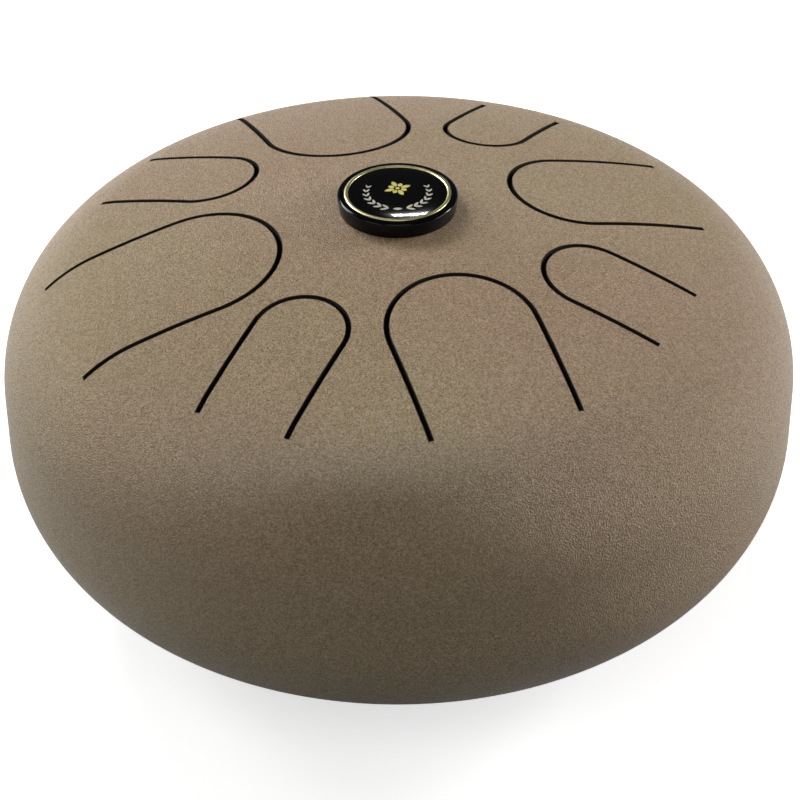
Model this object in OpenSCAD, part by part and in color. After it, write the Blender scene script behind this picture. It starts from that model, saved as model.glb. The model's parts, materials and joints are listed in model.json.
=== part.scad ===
// Steel tongue drum: two pressed steel shells welded at the waist, with eight
// tongues cut round the crown of the upper one, a sound port in the lower one,
// four rubber feet and a round badge at the top.
// Millimetres, +Z up, origin on the drum's axis at the height of the floor.
// The front of the drum, towards the player, faces -Y.

/* [Body] */
// Outer diameter of the drum at its waist
body_d = 300; // [285:5:320]
// Thickness of the sheet steel
sheet_t = 1.5; // [1:0.1:2.2]
// Height of the upright band between the waist and each rounded shoulder
band_h = 9.5; // [6:0.5:16]
// Outer radius of the rounded shoulder
shoulder_r = 53; // [46:1:60]
// Outer radius of the shallow crown that the tongues are cut in
crown_r = 367; // [320:1:450]
// Height of the lower crown's pole above the floor
ground_gap = 9; // [8:0.5:14]

/* [Weld] */
// Width of the weld where it is ground flush outside
weld_cap_w = 4; // [3:0.1:6]
// Gap between the two shells at the root of the weld
weld_root_w = 1.2; // [0.8:0.1:2]
// Height that the weld's root bead stands proud inside
weld_bead_h = 1; // [0.5:0.1:1.5]

/* [Tongues] */
// Direction of the front tongue, seen from above, in degrees
first_tongue_angle = -71.6; // [-90:0.1:-60]
// Width of the slot that frees each tongue
slot_w = 1.7; // [1.2:0.1:2.2]
// Width of a wide tongue
wide_tongue_w = 54; // [48:1:58]
// Distance from the drum's axis to the free tip of a wide tongue
wide_tip_r = 47; // [40:1:52]
// Distance from the drum's rim to the root of a wide tongue, seen from above
wide_root_inset = 32; // [28:1:40]
// Width of a narrow tongue
narrow_tongue_w = 33; // [26:1:36]
// Distance from the drum's axis to the free tip of a narrow tongue
narrow_tip_r = 62; // [58:1:68]
// Distance from the drum's rim to the root of a narrow tongue, seen from above
narrow_root_inset = 36; // [30:1:42]
// Width of the line at each tongue's root, along which it bends
root_line_w = 0.05; // [0.04:0.01:0.1]

/* [Tuning magnets] */
// Diameter of the magnet under each tongue
magnet_d = 10; // [6:1:14]
// Thickness of the magnet
magnet_t = 3; // [2:0.5:5]
// Distance from a tongue's tip to the middle of its magnet
magnet_from_tip = 14; // [10:1:18]

/* [Sound port] */
// Diameter of the port in the lower shell
port_d = 60; // [40:1:80]

/* [Feet] */
// Diameter of the circle that the feet stand on
foot_circle_d = 140; // [120:1:160]
// Diameter of a foot where it meets the shell
foot_top_d = 26; // [22:0.5:28]
// Diameter that a foot would taper to at the floor
foot_end_d = 21; // [18:0.5:22]
// Radius of the rounded nose that a foot stands on
foot_nose_r = 15; // [14:0.5:20]
// Depth that the nose flattens against the floor
foot_flat_h = 0.4; // [0.3:0.1:0.6]
// Diameter of the neck that fills the hole in the shell
neck_d = 8; // [6:0.5:9]
// Diameter of the barb that holds the foot from inside
barb_d = 11.5; // [10:0.5:14]
// Diameter of the barb's entering end
barb_end_d = 6; // [4:0.5:8]
// Length of the barb
barb_l = 7; // [5:0.5:10]

/* [Badge] */
// Diameter of the badge's housing
badge_d = 44.6; // [42:0.2:50]
// Height of the housing's upper face above the crown's pole
badge_h = 6; // [4.8:0.1:7]
// Width of the sloping margin between the housing's edge and the gold ring
badge_margin_w = 2.4; // [2:0.1:3]
// Fall of that margin towards the edge
badge_margin_fall = 0.2; // [0.1:0.1:0.8]
// Radius of the housing's rounded upper edge
badge_edge_r = 0.6; // [0.3:0.1:0.8]
// Amount that the housing's side draws in towards the drum
badge_taper = 0.6; // [0.2:0.1:1.2]
// Height of the housing's lower edge above the drum
badge_skirt_gap = 0.3; // [0.2:0.05:0.5]
// Depth of the dish that holds the face
dish_depth = 1.3; // [1.2:0.1:1.6]
// Width of the gold ring
ring_w = 1.6; // [1.2:0.1:2.2]
// Thickness of the black face disc
face_t = 0.4; // [0.3:0.1:0.6]
// Thickness of the clear dome, and of the ring's side, at the dome's edge
lens_edge_t = 0.7; // [0.5:0.1:0.8]
// Rise of the clear dome from its edge to its middle
lens_rise = 1; // [0.8:0.1:1.5]
// Wall of the housing's skirt, round the foam pad that holds the badge down
skirt_t = 2.45; // [1.5:0.05:4]
// Thickness of the foam pad over the crown's pole
pad_t = 2; // [1.8:0.1:2.4]

/* [Fit] */
// Clearance between pieces that are pushed, laid or drawn together
fit_clear = 0.05; // [0.03:0.01:0.1]

/* [Hidden] */
$fn = 180;
// Facets of the large spheres, whose flats would show in a thin piece
sphere_fn = 256;
// Overrun that takes every cut clear of what it cuts
over = 1;

// Each tongue has its own note, so its own size, as shares of its kind's sizes.
// Wide and narrow tongues take turns, starting with the wide one at the front.
tongue_width_shares = [0.978, 1.004, 1.096, 1.04, 1.004, 0.922, 0.866, 1.02];
tongue_tip_shares = [0.989, 0.99, 1.013, 1.014, 1.008, 1.011, 0.991, 0.991];
root_inset_shares = [1.056, 0.825, 0.691, 0.897, 0.953, 1.092, 1.153, 1.064];
tongue_count = len(tongue_width_shares);
foot_count = 4;
// The feet stand between the front and the sides
first_foot_angle = 45;

body_r = body_d / 2;
badge_r = badge_d / 2;
// Drop from the shoulder's centre to the crown's, with which the two arcs meet smoothly
crown_drop = sqrt(pow(crown_r - shoulder_r, 2) - pow(body_r - shoulder_r, 2));
// Angle above level of the line through both centres, on which the arcs meet
join_angle = atan2(crown_drop, body_r - shoulder_r);
// Height from the waist to either pole
dome_h = band_h + crown_r - crown_drop;
waist_z = ground_gap + dome_h;
pole_z = waist_z + dome_h;
upper_centre_z = pole_z - crown_r;
lower_centre_z = ground_gap + crown_r;
// Radius of the badge's lower edge, and of the foam pad inside it
badge_base_r = badge_r - badge_taper;
pad_r = badge_base_r - skirt_t - fit_clear;
// Radius of the dish in the badge's upper face, and its floor's height above the pole
dish_r = badge_r - badge_margin_w;
dish_h = badge_h - dish_depth;
// Height above the floor of the upper side of the face, on which ring and dome lie
face_top_z = pole_z + dish_h + 2 * fit_clear + face_t;

function is_wide(i) = i % 2 == 0;
function tongue_angle(i) = first_tongue_angle - i * 360 / tongue_count;
function tongue_w(i) = tongue_width_shares[i] * (is_wide(i) ? wide_tongue_w : narrow_tongue_w);
function tip_r(i) = tongue_tip_shares[i] * (is_wide(i) ? wide_tip_r : narrow_tip_r);
function root_r(i) =
    body_r - root_inset_shares[i] * (is_wide(i) ? wide_root_inset : narrow_root_inset);
// Point on the line on which crown and shoulder meet, at a distance from the crown's centre
function on_join(distance) =
    [0, band_h - crown_drop] + distance * [cos(join_angle), sin(join_angle)];
// Radius of the sphere whose cap has this half width and this height
function cap_r(half_w, h) = (pow(half_w, 2) / h + h) / 2;
// Fall of a sphere's surface from its pole to this distance from the axis
function fall(r, distance) = r - sqrt(pow(r, 2) - pow(distance, 2));

module ring_wall(outer_r) {
    difference() {
        circle(outer_r);
        circle(outer_r - sheet_t);
    }
}

// Half section of one shell, with its waist at height zero
module shell_section() {
    join_in = on_join(crown_r - 2 * sheet_t);
    join_out = on_join(crown_r + sheet_t);
    above = 2 * dome_h;
    intersection() {
        translate([0, band_h - crown_drop])
            ring_wall(crown_r);
        polygon([[0, join_in[1]], join_in, join_out, [join_out[0], above], [0, above]]);
    }
    intersection() {
        translate([body_r - shoulder_r, band_h])
            ring_wall(shoulder_r);
        polygon([
            [body_r - shoulder_r, band_h],
            [body_r + over, band_h],
            [body_r + over, join_out[1]],
            join_out,
            join_in
        ]);
    }
    // A block inside the wall, across the line that the two arcs share, makes them one
    translate(on_join(crown_r - sheet_t / 2))
        rotate(join_angle)
            square(sheet_t / 2, center = true);
    polygon([
        [body_r - sheet_t, weld_root_w / 2],
        [body_r, weld_cap_w / 2],
        [body_r, band_h],
        [body_r - sheet_t, band_h]
    ]);
}

module upper_pressing() {
    translate([0, 0, waist_z])
        rotate_extrude()
            shell_section();
}

module lower_pressing() {
    translate([0, 0, waist_z])
        mirror([0, 0, 1])
            rotate_extrude()
                shell_section();
}

// Plan of a tongue that lies along +X with its tip towards the drum's axis,
// grown by margin round its free sides and ending square at end_r
module tongue_plan(i, margin, end_r) {
    half_w = tongue_w(i) / 2;
    round_x = tip_r(i) + half_w;
    translate([round_x, 0])
        circle(half_w + margin);
    translate([round_x, -half_w - margin])
        square([end_r - round_x, 2 * (half_w + margin)]);
}

// Upright prism through the crown and shoulder, at tongue i's place
module through_crown(i) {
    rotate([0, 0, tongue_angle(i)])
        translate([0, 0, waist_z + band_h])
            linear_extrude(dome_h - band_h + over)
                children();
}

module upper_shell() {
    color("#8c7a63")
        difference() {
            upper_pressing();
            for (i = [0 : tongue_count - 1])
                through_crown(i)
                    tongue_plan(i, slot_w, root_r(i));
        }
}

module tongue(i) {
    color("#8c7a63")
        intersection() {
            upper_pressing();
            through_crown(i)
                tongue_plan(i, 0, root_r(i) - root_line_w);
        }
}

// Nickel-plated disc, held by its own pull to the hollow underside of tongue i,
// which its rim touches first
module tuning_magnet(i) {
    inner_r = crown_r - sheet_t;
    tilt = asin((tip_r(i) + magnet_from_tip) / inner_r);
    top_s = inner_r - fall(inner_r, magnet_d / 2) - fit_clear;
    color("#b9bcc0")
        translate([0, 0, upper_centre_z])
            rotate([0, tilt, tongue_angle(i)])
                translate([0, 0, top_s - magnet_t])
                    cylinder(d = magnet_d, h = magnet_t);
}

// Butt weld, ground flush outside, with a low bead at its root inside
module waist_weld() {
    wall_r = body_r - sheet_t;
    bead_r = cap_r(weld_cap_w / 2, weld_bead_h);
    color("#85735d")
        translate([0, 0, waist_z])
            rotate_extrude() {
                polygon([
                    [wall_r - weld_bead_h / 2, -weld_root_w / 2],
                    [wall_r, -weld_root_w / 2],
                    [body_r, -weld_cap_w / 2],
                    [body_r, weld_cap_w / 2],
                    [wall_r, weld_root_w / 2],
                    [wall_r - weld_bead_h / 2, weld_root_w / 2]
                ]);
                intersection() {
                    translate([wall_r - weld_bead_h + bead_r, 0])
                        circle(bead_r);
                    translate([wall_r - weld_bead_h - over, -weld_cap_w])
                        square([weld_bead_h + over, 2 * weld_cap_w]);
                }
            }
}

// Takes its children from the centre of the lower crown's sphere, with +Z
// turned out through the crown at foot i
module at_foot(i) {
    tilt = asin(foot_circle_d / 2 / crown_r);
    translate([0, 0, lower_centre_z])
        rotate([0, 180 - tilt, first_foot_angle + i * 360 / foot_count])
            children();
}

module lower_shell() {
    color("#85735d")
        difference() {
            lower_pressing();
            translate([0, 0, ground_gap - over])
                cylinder(d = port_d, h = shoulder_r);
            for (i = [0 : foot_count - 1])
                at_foot(i)
                    translate([0, 0, crown_r - sheet_t - over])
                        cylinder(r = neck_d / 2 + fit_clear, h = sheet_t + 2 * over);
        }
}

// Push-in rubber foot: a tapered stub with a rounded nose, a neck that fills
// the hole in the shell, and a barb inside
module foot(i) {
    // Height at which the foot's axis meets the shell
    seat_z = ground_gap + fall(crown_r, foot_circle_d / 2);
    // Along the tilted axis a distance is this much of the height that it covers
    slant = crown_r / (lower_centre_z - seat_z);
    nose_s = (seat_z + foot_flat_h - foot_nose_r) * slant;
    top_fall = fall(crown_r, foot_top_d / 2);
    color("#1c1c1d")
        difference() {
            at_foot(i) {
                intersection() {
                    difference() {
                        translate([0, 0, crown_r - top_fall])
                            cylinder(d1 = foot_top_d, d2 = foot_end_d, h = top_fall + seat_z * slant);
                        sphere(crown_r, $fn = sphere_fn);
                    }
                    translate([0, 0, crown_r + nose_s])
                        sphere(foot_nose_r);
                }
                translate([0, 0, crown_r - sheet_t - over])
                    cylinder(d = neck_d, h = sheet_t + 2 * over);
                translate([0, 0, crown_r - sheet_t - fit_clear - barb_l])
                    cylinder(d1 = barb_end_d, d2 = barb_d, h = barb_l);
            }
            translate([-body_r, -body_r, -body_r])
                cube([body_d, body_d, body_r]);
        }
}

// Foam pad between the crown and the badge, hollowed to the crown's curve
module badge_pad() {
    color("#2a2a2b")
        difference() {
            translate([0, 0, pole_z - pad_t])
                cylinder(r = pad_r, h = 2 * pad_t);
            translate([0, 0, upper_centre_z])
                sphere(crown_r, $fn = sphere_fn);
        }
}

// Black housing: hollow below for the pad, dished above for the face
module badge_housing() {
    skirt_h = badge_skirt_gap - fall(crown_r, badge_base_r);
    edge_h = badge_h - badge_margin_fall;
    pocket_r = pad_r + fit_clear;
    color("#101012")
        translate([0, 0, pole_z])
            rotate_extrude() {
                polygon([
                    [0, pad_t + fit_clear],
                    [pocket_r, pad_t + fit_clear],
                    [pocket_r, skirt_h],
                    [badge_base_r, skirt_h],
                    [badge_r, edge_h - badge_edge_r],
                    [badge_r - badge_edge_r, edge_h - badge_edge_r],
                    [badge_r - badge_edge_r, edge_h],
                    [dish_r, badge_h],
                    [dish_r, dish_h],
                    [0, dish_h]
                ]);
                translate([badge_r - badge_edge_r, edge_h - badge_edge_r])
                    intersection() {
                        circle(badge_edge_r);
                        polygon(badge_edge_r * [[1, 0], [1, 1], [-1, 1], [-1, -1]]);
                    }
            }
}

module badge_face() {
    color("#08080a")
        translate([0, 0, pole_z + dish_h + fit_clear])
            cylinder(r = dish_r - fit_clear, h = face_t);
}

// Gold ring with a half-round top, which frames the face
module badge_ring() {
    middle_r = dish_r - fit_clear - ring_w / 2;
    color("#c9a84c")
        translate([0, 0, face_top_z])
            rotate_extrude() {
                translate([middle_r - ring_w / 2, 0])
                    square([ring_w, lens_edge_t]);
                translate([middle_r, lens_edge_t])
                    intersection() {
                        circle(ring_w / 2);
                        translate([-ring_w / 2, 0])
                            square([ring_w, ring_w]);
                    }
            }
}

// Clear cast dome over the face, inside the ring
module badge_lens() {
    lens_r = dish_r - ring_w - 2 * fit_clear;
    curve_r = cap_r(lens_r, lens_rise);
    lens_h = lens_edge_t + lens_rise;
    color("#d8dde0", 0.35)
        intersection() {
            translate([0, 0, face_top_z])
                cylinder(r = lens_r, h = lens_h + over);
            translate([0, 0, face_top_z + lens_h - curve_r])
                sphere(curve_r, $fn = sphere_fn);
        }
}

upper_shell();
waist_weld();
lower_shell();
for (i = [0 : tongue_count - 1]) {
    tongue(i);
    tuning_magnet(i);
}
for (i = [0 : foot_count - 1])
    foot(i);
badge_pad();
badge_housing();
badge_face();
badge_ring();
badge_lens();
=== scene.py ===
"""Steel tongue drum: coated skins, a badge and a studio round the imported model."""

import json
import math

import bpy
import numpy as np
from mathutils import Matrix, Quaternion, Vector
from mathutils.geometry import delaunay_2d_cdt


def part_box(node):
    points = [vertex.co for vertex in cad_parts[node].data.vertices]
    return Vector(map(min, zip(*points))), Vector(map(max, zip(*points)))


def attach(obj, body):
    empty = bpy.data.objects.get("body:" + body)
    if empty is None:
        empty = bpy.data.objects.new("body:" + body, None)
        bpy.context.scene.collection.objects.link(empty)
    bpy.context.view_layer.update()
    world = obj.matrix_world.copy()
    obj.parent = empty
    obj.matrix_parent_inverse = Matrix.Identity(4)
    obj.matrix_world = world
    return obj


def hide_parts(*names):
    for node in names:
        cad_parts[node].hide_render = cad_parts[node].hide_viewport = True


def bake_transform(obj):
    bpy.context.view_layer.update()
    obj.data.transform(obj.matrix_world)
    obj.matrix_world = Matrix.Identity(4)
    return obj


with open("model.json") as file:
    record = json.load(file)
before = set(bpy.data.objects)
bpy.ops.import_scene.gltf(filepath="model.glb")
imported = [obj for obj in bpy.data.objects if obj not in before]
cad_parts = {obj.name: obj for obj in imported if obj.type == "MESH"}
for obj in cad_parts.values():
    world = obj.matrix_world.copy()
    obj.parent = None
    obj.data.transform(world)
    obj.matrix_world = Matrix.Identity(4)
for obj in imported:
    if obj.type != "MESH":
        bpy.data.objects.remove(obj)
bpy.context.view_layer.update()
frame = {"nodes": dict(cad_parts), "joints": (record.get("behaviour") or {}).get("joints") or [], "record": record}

MM = 0.001

# Sizes of the pressed shells, which both halves share
SHEET = 1.5 * MM
BAND_H = 9.5 * MM
SHOULDER_R = 53 * MM
CROWN_R = 367 * MM
SLOT_W = 1.7 * MM
# The coating rounds each cut edge over this width, by this depth
EDGE_W = 0.22 * MM
EDGE_DROP = 0.12 * MM

weld_low, weld_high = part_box("waist_weld")
BODY_R = weld_high.x
WAIST_Z = (weld_low.z + weld_high.z) / 2
WELD_HALF = (weld_high.z - weld_low.z) / 2
SHOULDER_X = BODY_R - SHOULDER_R
JOIN_ANGLE = math.asin(SHOULDER_X / (CROWN_R - SHOULDER_R))
JOIN_S = CROWN_R * JOIN_ANGLE
CROWN_DROP = (CROWN_R - SHOULDER_R) * math.cos(JOIN_ANGLE)

# How far from its root a tongue bends; the points this marks are worked out but not used
BEND_L = 10 * MM
# The weld's half height at its root, and its bead inside
WELD_ROOT_HALF = 0.6 * MM
WELD_BEAD = 1 * MM
# Holes in the lower shell
PORT_R = 30 * MM
FEET = 4
FOOT_R = 70 * MM
FOOT_HOLE_R = 4.05 * MM

# The badge's edges, fits and print
FIT = 0.05 * MM
BADGE_FALL = 0.2 * MM
BADGE_EDGE_R = 1 * MM
BADGE_TAPER = 0.6 * MM
LIP_R = 0.15 * MM
RING_W = 1.6 * MM
LENS_RISE = 1 * MM
DOME_POWER = 4
DOME_RINGS = 90
PRINT_T = 0.03 * MM
# The dome's resin runs this far into the face, as it is cast onto it without a gap
BOND = 0.02 * MM
RING_PROUD = 0.1 * MM
RING_EDGE_R = 0.6 * MM
# The angles in degrees up to which the rounded edges of the housing and the ring turn
RIM_ANGLE, RING_ANGLE = 78, 85
# The ornament's rosette, in shares of its radius
ROSETTE_R = 5.2 * MM
ROSETTE_Y = 2.6 * MM
PETALS = 8
PETAL_START_SHARE, PETAL_W_SHARE, SHORT_PETAL_SHARE = 0.24, 0.36, 0.72
EYE_SHARE, EYE_STEP_SHARE = 0.15, 0.03
# Its sprays: pairs of leaves along an arc, at a first angle and a step on, in degrees from the
# bottom. A leaf leans by so many radians, and each pair is smaller by a share of the first
SPRAY_R = 11.5 * MM
SPRAY_PAIRS = 7
SPRAY_FIRST, SPRAY_STEP = 16, 15
SPRAY_LEAF = 3.4 * MM
LEAF_LEAN = 0.5
LEAF_LOSS_SHARE, LEAF_W_SHARE, KNOT_W_SHARE = 0.06, 0.34, 0.4
# How full a leaf is towards its ends, where 1 gives a plain sine
LEAF_POWER = 0.8

# Colours of the coating, as sRGB, and how strongly its grain varies it
BRONZE_OLIVE = (165, 144, 108)
BRONZE_MAUVE = (167, 140, 110)
GRAIN_CELL = 0.38 * MM
GRAIN = 0.28
GRAIN_GREY = 0.06
COAT_ROUGH = 0.3
# How many soft patches a metre holds, and where in the noise they are taken
MOTTLE_SCALE = 8
MOTTLE_AT = (21.09, 0.99, 0)
# The tones of the ring's polished gold and of the ornament's gold foil
RING_DARK, RING_LIGHT = (236, 224, 160), (250, 242, 196)
FOIL_DARK, FOIL_LIGHT = (244, 232, 130), (252, 244, 160)
FOIL_METALLIC = 0.4

# The studio's lamps stand this far from the drum. Each has a name, its direction in degrees
# round from +X and up, its width and height in metres, and how bright it looks
LAMP_FAR = 1.3
LAMPS = [
    ("left_back_softbox", 155, 26, (0.5, 0.4), 10.4),
    ("left_back_high_softbox", 128, 42, (0.4, 0.4), 17.2),
    ("right_back_strip", 15, 20, (0.28, 0.5), 22.8),
    ("left_low_softbox", 185, 10, (0.5, 0.3), 1.8),
    ("right_low_softbox", 352, 10, (0.5, 0.3), 5.8),
    ("left_front_softbox", 222, 32, (0.6, 0.5), 1.7),
    ("front_softbox", 270, 48, (0.8, 0.5), 2.0),
]
# A bright strip linked to the badge's dome alone, for the crescent near the dome's edge
DOME_STRIP = ("dome_strip", 83, 53, (0.26, 0.05), 120.0)
WORLD_FILL = 0.04
WHITE = (1, 1, 1, 1)
# The floor: half its side in metres, how light it is, and how much it glows to the camera
FLOOR_HALF = 3
FLOOR_SHADE = 0.8
FLOOR_GLOW = 0.65
# The floor doesn't glow where it lies under the port, up to the first of these distances from
# the drum's axis, and has its full glow from the second one on
GLOW_START, GLOW_FULL = 42 * MM, 60 * MM
# Between these distances from the axis, in metres, the glow rises on to white
FLOOR_NEAR, FLOOR_FAR = 0.35, 1.1
# How light the floor is for the light that it sends back up
FLOOR_BOUNCE = 0.12
# Elevation in degrees up to which the surround behind the floor is white
BACKDROP_TOP = 6

# The photograph's view: its width and focal length in pixels, and the camera's place
PHOTO_W = 800
CAMERA_FOCAL_PX = 2780.3
CAMERA_FAR = 1.07583
CAMERA_UP = 35.363
CAMERA_ROLL = -0.4
CAMERA_LOW = 8.96 * MM
CAMERA_SHIFT = (0.00125, -0.0023)

# Mesh spacing: the flat grid of the crown, and the columns round the shoulder
GRID = 3.2 * MM
COLUMNS = 360
CUT_R = 134 * MM
SHOULDER_ROWS = 18
BAND_ROWS = 3
# The share of the grid that stays clear round the cut lines, and the fewest points of a half
# circle and of a whole one
CLEAR_SHARE = 0.55
HALF_ROUND_POINTS, ROUND_POINTS = 8, 24
# Columns of the turned pieces, and the angles in degrees from which edges look sharp
TURNED_COLUMNS = 256
TURNED_SHARP, PRINT_SHARP = 28, 30
# Walls that meet are shaded as one bend where the cosine between their directions is over this
SMOOTH_COS = 0.8
# Points nearer than this, in millimetres, are one in the triangulation
SAME_POINT = 1e-5
# A way shorter than this, in metres, counts as having no direction
TINY = 1e-12
# How many points of the cut lines the grid is compared with at a time
BLOCK = 256


def arc_length(r):
    """Distance along the outer surface from the pole to radius r."""
    r = np.asarray(r, float)
    on_crown = CROWN_R * np.arcsin(np.clip(r / CROWN_R, -1, 1))
    tilt = np.arcsin(np.clip((r - SHOULDER_X) / SHOULDER_R, -1, 1))
    on_shoulder = JOIN_S + SHOULDER_R * (tilt - JOIN_ANGLE)
    return np.where(on_crown < JOIN_S, on_crown, on_shoulder)


def radius_and_tilt(s):
    """Radius and slope of the outer surface at a distance s along it from the pole."""
    s = np.asarray(s, float)
    tilt = np.where(s < JOIN_S, s / CROWN_R, JOIN_ANGLE + (s - JOIN_S) / SHOULDER_R)
    r = np.where(s < JOIN_S, CROWN_R * np.sin(tilt), SHOULDER_X + SHOULDER_R * np.sin(tilt))
    return r, tilt


def height(r, inset):
    """Height over the waist of the surface that lies inset deep in the sheet, at radius r."""
    r = np.asarray(r, float)
    crown, shoulder = CROWN_R - inset, SHOULDER_R - inset
    join_r = crown * math.sin(JOIN_ANGLE)
    on_crown = np.sqrt(np.maximum(crown**2 - r**2, 0)) - CROWN_DROP
    on_shoulder = np.sqrt(np.maximum(shoulder**2 - (r - SHOULDER_X) ** 2, 0))
    return BAND_H + np.where(r < join_r, on_crown, on_shoulder)


def inner_tilt(r):
    """Slope of the inner surface at radius r."""
    crown, shoulder = CROWN_R - SHEET, SHOULDER_R - SHEET
    on_crown = np.arcsin(np.clip(r / crown, -1, 1))
    on_shoulder = np.arcsin(np.clip((r - SHOULDER_X) / shoulder, -1, 1))
    return np.where(r < crown * math.sin(JOIN_ANGLE), on_crown, on_shoulder)


def spaced(a, b, step):
    """Points from a to b, without b, no more than a step apart."""
    a, b = np.asarray(a, float), np.asarray(b, float)
    n = max(1, math.ceil(np.linalg.norm(b - a) / step))
    return [tuple(a + (b - a) * k / n) for k in range(n)]


def half_round(x, radius, step, start, end):
    """Points of an arc about (x, 0), from angle start to end, without its last point."""
    n = max(HALF_ROUND_POINTS, math.ceil(abs(end - start) * radius / step))
    return [
        (x + radius * math.cos(a), radius * math.sin(a))
        for a in (start + (end - start) * k / n for k in range(n))
    ]


class Tongue:
    """One tongue's plan, read from its CAD node and its joint."""

    def __init__(self, joint):
        members = frame["record"]["behaviour"]["bodies"][joint["child"]]
        self.node = next(n for n in members if n.startswith("tongue"))
        self.body = joint["child"]
        x, y, self.root_z = joint["pos_m"]
        self.angle = math.atan2(y, x)
        self.root = math.hypot(x, y)
        places = np.array([v.co for v in frame["nodes"][self.node].data.vertices])
        along, across = self.local(places[:, 0], places[:, 1])
        self.tip = along.min()
        self.half_w = np.abs(across).max()
        self.round_x = self.tip + self.half_w

    def local(self, x, y):
        """Distances along and across the tongue's centre line, from the drum's axis."""
        c, s = math.cos(self.angle), math.sin(self.angle)
        return x * c + y * s, y * c - x * s

    def placed(self, points):
        """Points given along and across the tongue, turned to their place."""
        c, s = math.cos(self.angle), math.sin(self.angle)
        return [(u * c - v * s, u * s + v * c) for u, v in points]

    def holds(self, x, y, margin):
        """True where a point lies on the tongue grown by margin round its free sides."""
        u, v = self.local(x, y)
        half = self.half_w + margin
        round_end = (u - self.round_x) ** 2 + v**2 < half**2
        return (u < self.root) & (np.abs(v) < half) & ((u > self.round_x) | round_end)

    def slot_loop(self, grown):
        """The U-shaped slot's outline, grown by grown all round."""
        out, inn = self.half_w + SLOT_W + grown, self.half_w - grown
        end, step = self.root + grown, GRID / 2
        quarter = math.pi / 2
        points = spaced((end, -out), (self.round_x, -out), step)
        points += half_round(self.round_x, out, step, -quarter, -3 * quarter)
        points += spaced((self.round_x, out), (end, out), step)
        points += spaced((end, out), (end, inn), step)
        points += spaced((end, inn), (self.root, inn), step) if grown else []
        points += spaced((self.root, inn), (self.round_x, inn), step)
        points += half_round(self.round_x, inn, step, -3 * quarter, -quarter)
        points += spaced((self.round_x, -inn), (self.root, -inn), step)
        points += spaced((self.root, -inn), (end, -inn), step) if grown else []
        points += spaced((end, -inn), (end, -out), step)
        return self.placed(points)

    def root_line(self):
        """The line along which the tongue bends, between its slots."""
        inn, out = self.half_w - EDGE_W, self.half_w
        middle = spaced((self.root, -inn), (self.root, inn), GRID)
        return self.placed([(self.root, -out), *middle, (self.root, inn), (self.root, out)])


class Plan:
    """Points and edges of one shell's plan, unrolled from its pole and triangulated."""

    def __init__(self):
        self.points, self.edges, self.cut = [], [], []

    def add_loop(self, points, cut=False, closed=True):
        """Adds a line that the mesh follows; cut marks a rounded and lowered edge."""
        first = len(self.points)
        self.points += [tuple(p) for p in points]
        self.cut += [cut] * len(points)
        last = len(self.points)
        self.edges += [(k, k + 1) for k in range(first, last - 1)]
        if closed:
            self.edges.append((last - 1, first))

    def fill(self, start_r):
        """Adds a grid of rings between start_r and CUT_R, clear of the lines already there."""
        lines = np.array(self.points)
        size = float(arc_length(CUT_R))
        rows = round((size - float(arc_length(start_r))) / GRID)
        rings = []
        for k in range(rows):
            s = size - (k + 1) * (size - float(arc_length(start_r))) / rows
            count = max(1, round(2 * math.pi * s / GRID))
            turn = np.arange(count) / count * 2 * math.pi + (k % 2) * math.pi / count
            r = radius_and_tilt(s)[0]
            rings.append(np.column_stack([r * np.cos(turn), r * np.sin(turn)]))
        grid = np.concatenate(rings)
        near = np.full(len(grid), np.inf)
        for k in range(0, len(lines), BLOCK):
            block = lines[None, k : k + BLOCK, :]
            near = np.minimum(near, np.linalg.norm(grid[:, None, :] - block, axis=2).min(axis=1))
        grid = grid[near > GRID * CLEAR_SHARE]
        turn = np.arange(COLUMNS) / COLUMNS * 2 * math.pi
        self.rim_first = len(self.points)
        self.add_loop(np.column_stack([CUT_R * np.cos(turn), CUT_R * np.sin(turn)]))
        self.points += [tuple(p) for p in grid]
        self.cut += [False] * len(grid)

    def triangulate(self):
        """Runs the triangulation on the unrolled points, and keeps the plan's own places."""
        places = np.array(self.points)
        r = np.linalg.norm(places, axis=1)
        stretch = np.divide(arc_length(r), r, out=np.ones_like(r), where=r > 0)
        flat = [Vector(p) for p in (places * stretch[:, None] / MM)]
        _, _, triangles, origins, _, _ = delaunay_2d_cdt(flat, self.edges, [], 0, SAME_POINT)
        self.places = places[[known[0] for known in origins]]
        self.is_cut = np.array([any(self.cut[k] for k in known) for known in origins])
        self.triangles = np.array(triangles)
        back = {k: new for new, known in enumerate(origins) for k in known}
        self.rim = [back[self.rim_first + k] for k in range(COLUMNS)]


def mesh_object(name, verts, faces, normals=None):
    """A smooth-shaded object; normals, where given, are one for each face corner."""
    mesh = bpy.data.meshes.new(name)
    mesh.from_pydata([tuple(v) for v in verts], [], [tuple(f) for f in faces])
    mesh.polygons.foreach_set("use_smooth", [True] * len(mesh.polygons))
    if normals is not None:
        mesh.normals_split_custom_set([tuple(n) for n in normals])
    obj = bpy.data.objects.new(name, mesh)
    bpy.context.scene.collection.objects.link(obj)
    return obj


def boundary_of(triangles):
    """Directed edges that only one triangle has."""
    edges = np.concatenate([triangles[:, [0, 1]], triangles[:, [1, 2]], triangles[:, [2, 0]]])
    known = {tuple(e) for e in edges.tolist()}
    return [e for e in map(tuple, edges.tolist()) if (e[1], e[0]) not in known]


def unit(way):
    """A way at length 1."""
    return way / max(np.linalg.norm(way), TINY)


def outward(a, b):
    """The level direction out of a piece at its edge from a to b, which has the piece on its left."""
    d = b - a
    return np.array([d[1], -d[0]]) / max(np.linalg.norm(d), TINY)


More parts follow.
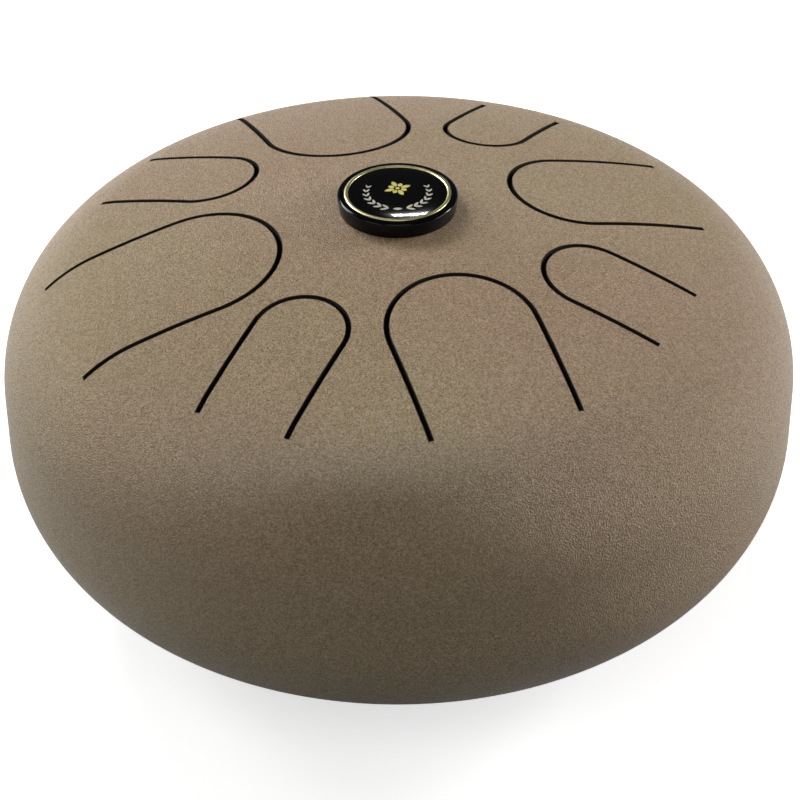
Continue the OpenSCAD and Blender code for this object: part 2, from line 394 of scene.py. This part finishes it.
def sheet_piece(name, plan, triangles, mats, flip=False, rim=False):
    """A closed piece of pressed sheet over some of a plan's triangles, in the first finish of
    mats, with its cut walls and rounded edges in the last, which on the upper shell and the
    tongues is painted shade for the slots. flip turns it into the lower shell's, and rim carries
    it on over the shoulder and down the band."""
    used = np.unique(triangles)
    index = {int(v): k for k, v in enumerate(used)}
    xy = plan.places[used]
    r = np.linalg.norm(xy, axis=1)
    way = np.divide(xy, r[:, None], out=np.zeros_like(xy), where=r[:, None] > 0)
    tilt = radius_and_tilt(arc_length(r))[1]
    cut = plan.is_cut[used]
    outer = np.column_stack([xy, height(r, 0) - EDGE_DROP * cut])
    inner = np.column_stack([xy, height(r, SHEET)])
    outer_n = np.column_stack([way * np.sin(tilt)[:, None], np.cos(tilt)])
    below = inner_tilt(r)
    inner_n = -np.column_stack([way * np.sin(below)[:, None], np.cos(below)])
    count = len(used)
    faces, normals = [], []
    edges = [(index[a], index[b]) for a, b in boundary_of(triangles)]
    out_ways = {}
    for a, b in edges:
        for k in (a, b):
            out_ways.setdefault(k, []).append(outward(xy[a], xy[b]))
    edge_n = outer_n.copy()
    for k, ways in out_ways.items():
        if cut[k]:
            edge_n[k] = outer_n[k] + np.array([*unit(sum(ways)), 0])
            edge_n[k] /= np.linalg.norm(edge_n[k])
    for tri in triangles:
        a, b, c = (index[int(v)] for v in tri)
        faces.append((a, b, c))
        normals += [edge_n[a], edge_n[b], edge_n[c]]
        faces.append((count + c, count + b, count + a))
        normals += [inner_n[c], inner_n[b], inner_n[a]]
    rim_here = {index[v] for v in plan.rim} if rim else set()

    def wall_normal(k, own):
        smooth = all(float(way @ own) > SMOOTH_COS for way in out_ways[k])
        return np.array([*(unit(sum(out_ways[k])) if smooth else own), 0])

    first_wall = len(faces)
    for a, b in edges:
        if a in rim_here and b in rim_here:
            continue
        own = outward(xy[a], xy[b])
        faces.append((b, a, count + a, count + b))
        na, nb = wall_normal(a, own), wall_normal(b, own)
        normals += [nb, na, na, nb]
    walls = list(range(first_wall, len(faces)))
    # Each triangle made two faces, the outer one first. The outer faces along the cut lines take the last finish
    # too, which on the upper shell and the tongues is painted shade that widens the slots' dark lines
    shaded_edge_faces = [2 * k for k, tri in enumerate(triangles) if plan.is_cut[tri].any()]
    verts = np.concatenate([outer, inner])
    if rim:
        verts, faces, normals = add_rim(plan, index, count, verts, faces, normals)
    verts = verts * [1, 1, -1 if flip else 1] + [0, 0, WAIST_Z]
    if flip:
        normals = np.array(normals) * [1, 1, -1]
        turned, at = [], 0
        for f in faces:
            n = len(f)
            turned.append(tuple(reversed(f)))
            normals[at : at + n] = normals[at : at + n][::-1].copy()
            at += n
        faces = turned
    obj = mesh_object(name, verts, faces, normals)
    for mat in mats:
        obj.data.materials.append(mat)
    for k in walls + shaded_edge_faces:
        obj.data.polygons[k].material_index = len(mats) - 1
    return obj


def add_rim(plan, index, count, verts, faces, normals):
    """Rows of faces from the plan's outer ring over the shoulder and down to the weld."""
    start = float(inner_tilt(np.array(CUT_R)))
    first = float(radius_and_tilt(arc_length(CUT_R))[1])
    quarter = math.pi / 2
    rows = []
    for k in range(1, SHOULDER_ROWS + 1):
        share = k / SHOULDER_ROWS
        out_tilt = first + (quarter - first) * share
        in_tilt = start + (quarter - start) * share
        rows.append(
            (
                SHOULDER_X + SHOULDER_R * math.sin(out_tilt),
                BAND_H + SHOULDER_R * math.cos(out_tilt),
                out_tilt,
                SHOULDER_X + (SHOULDER_R - SHEET) * math.sin(in_tilt),
                BAND_H + (SHOULDER_R - SHEET) * math.cos(in_tilt),
                in_tilt,
            )
        )
    for k in range(1, BAND_ROWS + 1):
        share = k / BAND_ROWS
        rows.append(
            (
                BODY_R,
                BAND_H + (WELD_HALF - BAND_H) * share,
                quarter,
                BODY_R - SHEET,
                BAND_H + (WELD_ROOT_HALF - BAND_H) * share,
                quarter,
            )
        )
    turn = np.arange(COLUMNS) / COLUMNS * 2 * math.pi
    ways = np.column_stack([np.cos(turn), np.sin(turn)])
    outs = [[index[v] for v in plan.rim]]
    inns = [[count + index[v] for v in plan.rim]]
    extra, base = [], len(verts)
    tilts = [(first, start)]
    for out_r, out_z, out_t, in_r, in_z, in_t in rows:
        for radius, z, rings in ((out_r, out_z, outs), (in_r, in_z, inns)):
            rings.append(list(range(base + len(extra), base + len(extra) + COLUMNS)))
            extra += [(*(radius * w), z) for w in ways]
        tilts.append((out_t, in_t))

    def corner(column, tilt, side):
        w = ways[column % COLUMNS]
        return side * np.array([*(w * math.sin(tilt)), math.cos(tilt)])

    for row in range(len(rows)):
        for c in range(COLUMNS):
            d = (c + 1) % COLUMNS
            faces.append((outs[row][c], outs[row + 1][c], outs[row + 1][d], outs[row][d]))
            t0, t1 = tilts[row][0], tilts[row + 1][0]
            normals += [corner(c, t0, 1), corner(c, t1, 1), corner(d, t1, 1), corner(d, t0, 1)]
            faces.append((inns[row][c], inns[row][d], inns[row + 1][d], inns[row + 1][c]))
            t0, t1 = tilts[row][1], tilts[row + 1][1]
            normals += [corner(c, t0, -1), corner(d, t0, -1), corner(d, t1, -1), corner(c, t1, -1)]
    down = np.array([0, 0, -1])
    for c in range(COLUMNS):
        d = (c + 1) % COLUMNS
        faces.append((outs[-1][c], inns[-1][c], inns[-1][d], outs[-1][d]))
        normals += [down] * 4
    return np.concatenate([verts, np.array(extra)]), faces, normals


def revolve(name, profile, segments=TURNED_COLUMNS):
    """A closed ring or disc of the outline in profile, given as (radius, height) points."""
    verts, rings = [], []
    turn = [2 * math.pi * k / segments for k in range(segments)]
    for r, z in profile:
        if r <= 0:
            rings.append([len(verts)] * segments)
            verts.append((0, 0, z))
        else:
            rings.append(list(range(len(verts), len(verts) + segments)))
            verts += [(r * math.cos(a), r * math.sin(a), z) for a in turn]
    faces = []
    for k, low in enumerate(rings):
        high = rings[(k + 1) % len(rings)]
        if low[0] == low[-1] and high[0] == high[-1]:
            continue
        for c in range(segments):
            d = (c + 1) % segments
            face = [low[c], low[d], high[d], high[c]]
            faces.append(list(dict.fromkeys(face)))
    obj = mesh_object(name, verts, faces)
    obj.data.set_sharp_from_angle(angle=math.radians(TURNED_SHARP))
    return obj


def arc(x, z, radius, start, end, steps):
    """Points of an arc in a profile, from one angle to another, in degrees, both ends in."""
    angles = [math.radians(start + (end - start) * k / steps) for k in range(steps + 1)]
    return [(x + radius * math.cos(a), z + radius * math.sin(a)) for a in angles]


def finish_piece(obj, node, mat=None):
    """Fixes a piece to the drum, with its finish, and hides the CAD node that it stands for."""
    if mat:
        obj.data.materials.append(mat)
    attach(obj, "drum")
    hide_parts(node)


def centroids(plan):
    """The middle of each of a plan's triangles."""
    return plan.places[plan.triangles].mean(axis=1)


def build_upper(mat, slot_shade_mat):
    """The upper shell and its tongues, from one plan, so that they meet without a seam."""
    tongues = [Tongue(j) for j in frame["joints"]]
    plan = Plan()
    for tongue in tongues:
        plan.add_loop(tongue.slot_loop(0), cut=True)
        plan.add_loop(tongue.slot_loop(EDGE_W))
        plan.add_loop(tongue.root_line(), closed=False)
    plan.fill(0)
    plan.triangulate()
    x, y = centroids(plan).T
    left = np.ones(len(x), bool)
    for tongue in tongues:
        own = tongue.holds(x, y, 0)
        left &= ~tongue.holds(x, y, SLOT_W)
        piece = sheet_piece(f"coated_{tongue.node}", plan, plan.triangles[own], [mat, slot_shade_mat])
        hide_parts(tongue.node)
        root = tongue.placed([(tongue.root, 0), (tongue.root - BEND_L, 0)])
        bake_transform(piece)
    mats = [mat, slot_shade_mat]
    shell = sheet_piece("coated_upper_shell", plan, plan.triangles[left], mats, rim=True)
    finish_piece(shell, "upper_shell")


def circle_points(x, y, radius, step):
    """Points round a circle, no more than a step apart."""
    n = max(ROUND_POINTS, math.ceil(2 * math.pi * radius / step))
    turn = np.arange(n) / n * 2 * math.pi
    return np.column_stack([x + radius * np.cos(turn), y + radius * np.sin(turn)])


def build_lower(mat):
    """The lower shell, with its sound port and the holes for its feet."""
    plan = Plan()
    plan.add_loop(circle_points(0, 0, PORT_R, GRID / 2), cut=True)
    plan.add_loop(circle_points(0, 0, PORT_R + EDGE_W, GRID / 2))
    holes = []
    for k in range(FEET):
        turn = math.radians(360 / FEET * (k + 0.5))
        holes.append((FOOT_R * math.cos(turn), FOOT_R * math.sin(turn)))
    for x, y in holes:
        plan.add_loop(circle_points(x, y, FOOT_HOLE_R, GRID / 2))
    plan.fill(PORT_R)
    plan.triangulate()
    x, y = centroids(plan).T
    left = np.hypot(x, y) > PORT_R
    for hole_x, hole_y in holes:
        left &= np.hypot(x - hole_x, y - hole_y) > FOOT_HOLE_R
    shell = sheet_piece(
        "coated_lower_shell", plan, plan.triangles[left], [mat], flip=True, rim=True
    )
    finish_piece(shell, "lower_shell")


def build_weld(mat):
    """The weld, ground flush outside, with its root bead inside."""
    wall_r, root_half = BODY_R - SHEET, WELD_ROOT_HALF
    bead_r = (WELD_HALF**2 / WELD_BEAD + WELD_BEAD) / 2
    spread = math.degrees(math.asin(WELD_HALF / bead_r))
    bead = arc(wall_r - WELD_BEAD + bead_r, WAIST_Z, bead_r, 180 - spread, 180 + spread, 12)
    profile = [
        (wall_r, WAIST_Z - root_half),
        (BODY_R, WAIST_Z - WELD_HALF),
        (BODY_R, WAIST_Z + WELD_HALF),
        (wall_r, WAIST_Z + root_half),
        *[point for point in bead if abs(point[1] - WAIST_Z) > root_half or point[0] < wall_r],
    ]
    weld = revolve("coated_waist_weld", profile, COLUMNS)
    finish_piece(weld, "waist_weld", mat)


def build_badge(finishes):
    """The badge's housing, face, ring and clear dome, turned with finer edges."""
    low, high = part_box("badge_housing")
    face_low, face_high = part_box("badge_face")
    pad_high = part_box("badge_pad")[1]
    ring_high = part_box("badge_ring")[1]
    lens_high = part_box("badge_lens")[1]
    badge_r, edge_z = high.x, high.z - BADGE_FALL
    pocket_r, pocket_z = pad_high.x + FIT, pad_high.z + FIT
    dish_r = face_high.x + FIT
    edge = arc(badge_r - BADGE_EDGE_R, edge_z - BADGE_EDGE_R, BADGE_EDGE_R, 0, RIM_ANGLE, 10)
    lip = arc(dish_r + LIP_R, high.z - LIP_R, LIP_R, RIM_ANGLE, 180, 6)
    housing = revolve(
        "moulded_badge_housing",
        [
            (0, pocket_z),
            (pocket_r, pocket_z),
            (pocket_r, low.z),
            (badge_r - BADGE_TAPER - LIP_R, low.z),
            *arc(badge_r - BADGE_TAPER - LIP_R, low.z + LIP_R, LIP_R, -90, 0, 5)[1:],
            *edge,
            *lip,
            (dish_r, face_low.z - FIT),
            (0, face_low.z - FIT),
        ],
    )
    finish_piece(housing, "badge_housing", finishes["black"])

    face = revolve(
        "printed_badge_face",
        [
            (0, face_low.z),
            (face_high.x, face_low.z),
            (face_high.x, face_high.z),
            (0, face_high.z),
        ],
    )
    finish_piece(face, "badge_face", finishes["print"])

    ring_r, corner_z = ring_high.x, high.z + RING_PROUD - RING_EDGE_R
    ring = revolve(
        "polished_badge_ring",
        [
            (ring_r - RING_W, face_high.z),
            (ring_r, face_high.z),
            *arc(ring_r - RING_EDGE_R, corner_z, RING_EDGE_R, 0, RING_ANGLE, 6),
            *arc(ring_r - RING_W + RING_EDGE_R, corner_z, RING_EDGE_R, 180 - RING_ANGLE, 180, 6),
        ],
    )
    finish_piece(ring, "badge_ring", finishes["gold"])

    lens_r, bottom = lens_high.x, face_high.z - BOND
    edge_z = lens_high.z - LENS_RISE
    shares = [1 - k / DOME_RINGS for k in range(DOME_RINGS + 1)]
    dome = [(lens_r * k, edge_z + LENS_RISE * (1 - k**DOME_POWER)) for k in shares]
    lens = revolve("cast_badge_dome", [(0, bottom), (lens_r, bottom), *dome])
    finish_piece(lens, "badge_lens", finishes["resin"])
    build_ornament(face_high.z, finishes)


def flat_shape(outline, z, thick):
    """Vertices and faces of a flat shape with its outline in (x, y) points, all round its middle."""
    n = len(outline)
    middle = (sum(p[0] for p in outline) / n, sum(p[1] for p in outline) / n)
    verts = [(*p, z) for p in outline] + [(*p, z + thick) for p in outline]
    verts += [(*middle, z), (*middle, z + thick)]
    faces = []
    for k in range(n):
        m = (k + 1) % n
        faces += [(k, m, n + m, n + k), (m, k, 2 * n), (n + k, n + m, 2 * n + 1)]
    return verts, faces


def leaf(x, y, angle, length, width, steps=10):
    """Outline of a pointed leaf from (x, y) along angle."""
    c, s = math.cos(angle), math.sin(angle)
    shares = [k / steps for k in range(steps + 1)]
    halves = [width / 2 * math.sin(math.pi * k) ** LEAF_POWER for k in shares]
    right = [(length * k, -h) for k, h in zip(shares, halves)]
    left = [(length * k, h) for k, h in zip(shares[-2:0:-1], halves[-2:0:-1])]
    return [(x + u * c - v * s, y + u * s + v * c) for u, v in right + left]


def printed(name, outlines, z, mat):
    """Foil or ink on the badge's face: many thin flat shapes in one piece."""
    verts, faces = [], []
    for outline in outlines:
        more, ring = flat_shape(outline, z, PRINT_T)
        faces += [tuple(len(verts) + k for k in face) for face in ring]
        verts += more
    obj = mesh_object(name, verts, faces)
    obj.data.set_sharp_from_angle(angle=math.radians(PRINT_SHARP))
    obj.data.materials.append(mat)
    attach(obj, "drum")


def build_ornament(z, finishes):
    """A plain ornament in gold and ivory: a rosette with a spray of leaves on either side."""
    petals = []
    for k in range(PETALS):
        angle = math.radians(360 / PETALS * (k + 0.5))
        length = ROSETTE_R * (1 if k % 2 == 0 else SHORT_PETAL_SHARE)
        start = ROSETTE_R * PETAL_START_SHARE
        petals.append(
            leaf(
                start * math.cos(angle),
                ROSETTE_Y + start * math.sin(angle),
                angle,
                length - start,
                ROSETTE_R * PETAL_W_SHARE,
            )
        )
    eye_r, eye_step = ROSETTE_R * EYE_SHARE, ROSETTE_R * EYE_STEP_SHARE
    eye = [tuple(p) for p in circle_points(0, ROSETTE_Y, eye_r, eye_step)]
    printed("badge_rosette", [*petals, eye], z, finishes["foil"])

    sprays = []
    for side in (-1, 1):
        for k in range(SPRAY_PAIRS):
            angle = math.radians(-90 + side * (SPRAY_FIRST + SPRAY_STEP * k))
            x, y = SPRAY_R * math.cos(angle), SPRAY_R * math.sin(angle)
            along = angle + side * math.pi / 2
            size = SPRAY_LEAF * (1 - LEAF_LOSS_SHARE * k)
            for lean in (-LEAF_LEAN, LEAF_LEAN):
                sprays.append(leaf(x, y, along + lean, size, size * LEAF_W_SHARE))
    knot = leaf(-SPRAY_LEAF / 2, -SPRAY_R, 0, SPRAY_LEAF, SPRAY_LEAF * KNOT_W_SHARE)
    printed("badge_sprays", [*sprays, knot], z, finishes["ivory"])


def new_material(name):
    """A node material, its tree and its Principled shader."""
    mat = bpy.data.materials.new(name)
    mat.use_nodes = True
    tree = mat.node_tree
    return mat, tree, tree.nodes["Principled BSDF"]


def add_node(tree, kind, inputs=None, **settings):
    """A node with its settings, and its inputs set to values or linked to sockets."""
    made = tree.nodes.new(kind)
    for key, value in settings.items():
        setattr(made, key, value)
    for key, value in (inputs or {}).items():
        if isinstance(value, bpy.types.NodeSocket):
            tree.links.new(value, made.inputs[key])
        else:
            made.inputs[key].default_value = value
    return made


def object_coords(tree):
    return add_node(tree, "ShaderNodeTexCoord").outputs["Object"]


def noise(tree, scale, detail=2.0, roughness=0.5, coords=None):
    """Noise whose features are about 1 / scale metres across."""
    made = add_node(
        tree,
        "ShaderNodeTexNoise",
        {
            "Vector": coords or object_coords(tree),
            "Scale": scale,
            "Detail": detail,
            "Roughness": roughness,
        },
    )
    return made.outputs["Fac"]


def remap(tree, value, low, high, to_low, to_high):
    """value from low..high to to_low..to_high, clamped."""
    made = add_node(
        tree,
        "ShaderNodeMapRange",
        {"Value": value, "From Min": low, "From Max": high, "To Min": to_low, "To Max": to_high},
    )
    return made.outputs["Result"]


def mix_colour(tree, kind, factor, a, b):
    made = add_node(tree, "ShaderNodeMix", data_type="RGBA", blend_type=kind)
    for key, value in ((0, factor), (6, a), (7, b)):
        if isinstance(value, bpy.types.NodeSocket):
            tree.links.new(value, made.inputs[key])
        else:
            made.inputs[key].default_value = value
    return made.outputs[2]


def maths(tree, operation, a, b):
    made = add_node(tree, "ShaderNodeMath", {0: a, 1: b}, operation=operation)
    return made.outputs[0]


def bump(tree, shader, heights, strength, distance):
    made = add_node(
        tree,
        "ShaderNodeBump",
        {"Height": heights, "Strength": strength, "Distance": distance},
    )
    tree.links.new(made.outputs["Normal"], shader.inputs["Normal"])


def colour(red, green, blue):
    """An sRGB colour, 0 to 255, as linear values."""
    linear = []
    for c in (red, green, blue):
        c /= 255
        linear.append(c / 12.92 if c <= 0.04045 else ((c + 0.055) / 1.055) ** 2.4)
    return (*linear, 1)


def bronze_coating():
    """Satin bronze-brown powder coating: a fine even grain over soft mottling."""
    mat, tree, shader = new_material("bronze_coating")
    coords = object_coords(tree)
    moved = add_node(tree, "ShaderNodeVectorMath", {0: coords, 1: MOTTLE_AT}, operation="ADD")
    patches = noise(tree, MOTTLE_SCALE, 2.0, 0.5, moved.outputs[0])
    base = mix_colour(
        tree,
        "MIX",
        remap(tree, patches, 0.36, 0.64, 0, 1),
        colour(*BRONZE_OLIVE),
        colour(*BRONZE_MAUVE),
    )
    cells = add_node(tree, "ShaderNodeTexVoronoi", {"Vector": coords, "Scale": 1 / GRAIN_CELL})
    pick = add_node(tree, "ShaderNodeSeparateColor", {"Color": cells.outputs["Color"]})
    cell = pick.outputs[0]
    base = mix_colour(tree, "MULTIPLY", 1, base, remap(tree, cell, 0, 1, 1 - GRAIN, 1 + GRAIN))
    base = mix_colour(tree, "ADD", 1, base, remap(tree, cell, 0, 1, -GRAIN_GREY, GRAIN_GREY))
    tree.links.new(base, shader.inputs["Base Color"])
    soft = noise(tree, 1700, 2.0, 0.6, coords)
    rough = remap(tree, soft, 0.3, 0.7, COAT_ROUGH - 0.05, COAT_ROUGH + 0.05)
    tree.links.new(rough, shader.inputs["Roughness"])
    bump(tree, shader, soft, 1, 0.85 * MM)
    return mat


def slot_shade():
    """Painted shade for the slots: their walls and the rounded edges along them, dark and dull, faintly streaked.
    """
    mat, tree, shader = new_material("slot_shade")
    streaks = noise(tree, 1800, 3, 0.6)
    tint = remap(tree, streaks, 0.35, 0.65, 0, 1)
    base = mix_colour(tree, "MIX", tint, colour(24, 20, 16), colour(44, 37, 30))
    tree.links.new(base, shader.inputs["Base Color"])
    tree.links.new(remap(tree, streaks, 0.3, 0.7, 0.6, 0.8), shader.inputs["Roughness"])
    shader.inputs["Specular IOR Level"].default_value = 0.2
    bump(tree, shader, streaks, 0.2, 0.05 * MM)
    return mat


def gloss_black():
    """Moulded black plastic, polished, with the faintest ripple and dust."""
    mat, tree, shader = new_material("gloss_black")
    coords = object_coords(tree)
    tint = remap(tree, noise(tree, 300, 2, 0.6, coords), 0.4, 0.6, 0, 1)
    base = mix_colour(tree, "MIX", tint, colour(4, 4, 6), colour(8, 8, 10))
    tree.links.new(base, shader.inputs["Base Color"])
    rough = remap(tree, noise(tree, 700, 3, 0.6, coords), 0.35, 0.65, 0.06, 0.12)
    tree.links.new(rough, shader.inputs["Roughness"])
    shader.inputs["Specular IOR Level"].default_value = 0.2
    bump(tree, shader, noise(tree, 260, 1, 0.5, coords), 0.04, 0.05 * MM)
    return mat


def printed_black():
    """Black ink under the dome."""
    mat, tree, shader = new_material("printed_black")
    fine = remap(tree, noise(tree, 2400, 2, 0.6), 0.4, 0.6, 0, 1)
    base = mix_colour(tree, "MIX", fine, colour(3, 3, 4), colour(6, 6, 8))
    tree.links.new(base, shader.inputs["Base Color"])
    shader.inputs["Roughness"].default_value = 0.5
    shader.inputs["Specular IOR Level"].default_value = 0.0
    return mat


def gold_metal(name, rough, fine, dark, light, metallic=1.0):
    """Gold-toned metal with fine polishing marks, from a dark to a light tone."""
    mat, tree, shader = new_material(name)
    coords = object_coords(tree)
    marks = noise(tree, fine, 3, 0.6, coords)
    tint = remap(tree, marks, 0.35, 0.65, 0, 1)
    base = mix_colour(tree, "MIX", tint, colour(*dark), colour(*light))
    tree.links.new(base, shader.inputs["Base Color"])
    tree.links.new(remap(tree, marks, 0.3, 0.7, rough, rough + 0.12), shader.inputs["Roughness"])
    shader.inputs["Metallic"].default_value = metallic
    bump(tree, shader, marks, 0.06, 0.02 * MM)
    return mat


def ivory_ink():
    mat, tree, shader = new_material("ivory_ink")
    fine = remap(tree, noise(tree, 2400, 2, 0.6), 0.35, 0.65, 0, 1)
    base = mix_colour(tree, "MIX", fine, colour(232, 226, 206), colour(250, 246, 232))
    tree.links.new(base, shader.inputs["Base Color"])
    shader.inputs["Roughness"].default_value = 0.5
    return mat


def clear_resin():
    """Clear cast resin, with a slow ripple on its surface."""
    mat, tree, shader = new_material("clear_resin")
    tint = remap(tree, noise(tree, 120, 1), 0.4, 0.6, 0, 1)
    base = mix_colour(tree, "MIX", tint, (0.97, 0.98, 0.98, 1), (1, 1, 1, 1))
    tree.links.new(base, shader.inputs["Base Color"])
    shader.inputs["Roughness"].default_value = 0.09
    shader.inputs["IOR"].default_value = 1.5
    shader.inputs["Transmission Weight"].default_value = 1.0
    bump(tree, shader, noise(tree, 60, 1), 0.01, 0.05 * MM)
    return mat


def foot_rubber():
    """Matte black rubber with a moulded grain."""
    mat, tree, shader = new_material("foot_rubber")
    grain = noise(tree, 1200, 4, 0.7)
    tint = remap(tree, grain, 0.35, 0.65, 0, 1)
    base = mix_colour(tree, "MIX", tint, colour(22, 22, 23), colour(38, 37, 37))
    tree.links.new(base, shader.inputs["Base Color"])
    tree.links.new(remap(tree, grain, 0.3, 0.7, 0.62, 0.8), shader.inputs["Roughness"])
    bump(tree, shader, grain, 0.3, 0.1 * MM)
    return mat


def pad_foam():
    """Black closed-cell foam."""
    mat, tree, shader = new_material("pad_foam")
    cells = add_node(
        tree, "ShaderNodeTexVoronoi", {"Vector": object_coords(tree), "Scale": 2600}
    ).outputs["Distance"]
    tint = remap(tree, cells, 0.1, 0.7, 0, 1)
    base = mix_colour(tree, "MIX", tint, colour(18, 18, 19), colour(44, 44, 46))
    tree.links.new(base, shader.inputs["Base Color"])
    shader.inputs["Roughness"].default_value = 0.9
    bump(tree, shader, cells, 0.5, 0.15 * MM)
    return mat


def nickel_plate():
    """Bright nickel plating, slightly scuffed."""
    mat, tree, shader = new_material("nickel_plate")
    marks = noise(tree, 1500, 4, 0.7)
    tint = remap(tree, marks, 0.35, 0.65, 0, 1)
    base = mix_colour(tree, "MIX", tint, colour(196, 195, 190), colour(221, 219, 213))
    tree.links.new(base, shader.inputs["Base Color"])
    tree.links.new(remap(tree, marks, 0.3, 0.7, 0.16, 0.34), shader.inputs["Roughness"])
    shader.inputs["Metallic"].default_value = 1.0
    bump(tree, shader, marks, 0.1, 0.02 * MM)
    return mat


def dress_cad_nodes():
    """Finishes for the CAD nodes that stay as they are."""
    rubber, foam, nickel = foot_rubber(), pad_foam(), nickel_plate()
    for name, obj in frame["nodes"].items():
        if name.startswith("foot"):
            mat = rubber
        elif name == "badge_pad":
            mat = foam
        elif name.startswith("tuning_magnet"):
            mat = nickel
        else:
            continue
        obj.data.materials.clear()
        obj.data.materials.append(mat)


def lamp(name, round_from_x, up, size, bright):
    """A soft box of this size in metres, turned to the middle of the drum."""
    data = bpy.data.lights.new(name, "AREA")
    data.shape = "RECTANGLE"
    data.size, data.size_y = size
    # A lamp's power in watts is its brightness times its area times pi
    data.energy = bright * size[0] * size[1] * math.pi
    obj = bpy.data.objects.new(name, data)
    bpy.context.scene.collection.objects.link(obj)
    turn, rise = math.radians(round_from_x), math.radians(up)
    level = math.cos(rise)
    away = Vector((level * math.cos(turn), level * math.sin(turn), math.sin(rise)))
    obj.location = Vector((0, 0, WAIST_Z)) + away * LAMP_FAR
    obj.rotation_mode = "QUATERNION"
    obj.rotation_quaternion = away.to_track_quat("Z", "Y")
    obj.visible_camera = False
    return obj


def seen_ways(tree):
    """1 for a camera ray, and 1 for a ray that reflects or passes through, each in its socket."""
    path = add_node(tree, "ShaderNodeLightPath")
    shine = maths(tree, "MAXIMUM", path.outputs["Is Glossy Ray"], path.outputs["Is Transmission Ray"])
    return path.outputs["Is Camera Ray"], shine


def build_floor():
    """A pale floor that keeps the drum's shadow and sends little light back up."""
    half = FLOOR_HALF
    floor = mesh_object(
        "floor",
        [(-half, -half, 0), (half, -half, 0), (half, half, 0), (-half, half, 0)],
        [(0, 1, 2, 3)],
    )
    mat = bpy.data.materials.new("pale_floor")
    mat.use_nodes = True
    tree = mat.node_tree
    tree.nodes.clear()
    camera, shine = seen_ways(tree)
    shade = add_node(tree, "ShaderNodeBsdfDiffuse", {"Color": (*[FLOOR_SHADE] * 3, 1)})
    away = add_node(tree, "ShaderNodeVectorMath", {0: object_coords(tree)}, operation="LENGTH")
    close = remap(tree, away.outputs["Value"], GLOW_START, GLOW_FULL, 0, FLOOR_GLOW)
    far = remap(tree, away.outputs["Value"], FLOOR_NEAR, FLOOR_FAR, 0, 1 - FLOOR_GLOW)
    level = maths(tree, "ADD", close, far)
    glow = add_node(tree, "ShaderNodeEmission", {"Color": WHITE, "Strength": level})
    both = add_node(tree, "ShaderNodeAddShader", {0: shade.outputs[0], 1: glow.outputs[0]})
    dull = add_node(tree, "ShaderNodeBsdfDiffuse", {"Color": (*[FLOOR_BOUNCE] * 3, 1)})
    unseen = add_node(
        tree, "ShaderNodeMixShader", {0: shine, 1: dull.outputs[0], 2: shade.outputs[0]}
    )
    mixed = add_node(
        tree, "ShaderNodeMixShader", {0: camera, 1: unseen.outputs[0], 2: both.outputs[0]}
    )
    out = add_node(tree, "ShaderNodeOutputMaterial")
    tree.links.new(mixed.outputs[0], out.inputs["Surface"])
    floor.data.materials.append(mat)


def build_light():
    """Soft boxes round the drum, a faint fill, and a low white backdrop all round."""
    for row in LAMPS:
        lamp(*row)
    reached = bpy.data.collections.new("dome_strip_reaches")
    reached.objects.link(bpy.data.objects["cast_badge_dome"])
    lamp(*DOME_STRIP).light_linking.receiver_collection = reached
    world = bpy.data.worlds.new("studio")
    bpy.context.scene.world = world
    world.use_nodes = True
    tree = world.node_tree
    tree.nodes.clear()
    fill = add_node(tree, "ShaderNodeBackground", {"Color": WHITE, "Strength": WORLD_FILL})
    white = add_node(tree, "ShaderNodeBackground", {"Color": WHITE, "Strength": 1})
    camera, shine = seen_ways(tree)
    way = add_node(
        tree,
        "ShaderNodeSeparateXYZ",
        {"Vector": add_node(tree, "ShaderNodeTexCoord").outputs["Generated"]},
    )
    top = math.sin(math.radians(BACKDROP_TOP))
    low = maths(tree, "LESS_THAN", way.outputs["Z"], top)
    seen = maths(tree, "MAXIMUM", camera, maths(tree, "MULTIPLY", shine, low))
    mixed = add_node(
        tree, "ShaderNodeMixShader", {0: seen, 1: fill.outputs[0], 2: white.outputs[0]}
    )
    out = add_node(tree, "ShaderNodeOutputWorld")
    tree.links.new(mixed.outputs[0], out.inputs["Surface"])


def build_camera():
    """The photograph's viewpoint, from the front and above."""
    data = bpy.data.cameras.new("camera")
    data.sensor_width = 36
    data.lens = 36 * CAMERA_FOCAL_PX / PHOTO_W
    data.shift_x, data.shift_y = CAMERA_SHIFT
    obj = bpy.data.objects.new("camera", data)
    bpy.context.scene.collection.objects.link(obj)
    up = math.radians(CAMERA_UP)
    back = Vector((0, -math.cos(up), math.sin(up)))
    obj.location = Vector((0, 0, WAIST_Z - CAMERA_LOW)) + back * CAMERA_FAR
    obj.rotation_mode = "QUATERNION"
    roll = Quaternion((0, 0, 1), math.radians(CAMERA_ROLL))
    obj.rotation_quaternion = back.to_track_quat("Z", "Y") @ roll
    bpy.context.scene.camera = obj


def main():
    bronze = bronze_coating()
    # The slots' walls and rounded edges get a dark painted shade
    build_upper(bronze, slot_shade())
    build_lower(bronze)
    build_weld(bronze)
    build_badge(
        {
            "black": gloss_black(),
            "print": printed_black(),
            "gold": gold_metal("ring_gold", 0.3, 900, RING_DARK, RING_LIGHT),
            "foil": gold_metal("foil_gold", 0.5, 2600, FOIL_DARK, FOIL_LIGHT, FOIL_METALLIC),
            "ivory": ivory_ink(),
            "resin": clear_resin(),
        }
    )
    dress_cad_nodes()
    build_floor()
    build_light()
    build_camera()
    bpy.context.scene.view_settings.view_transform = "Standard"


main()
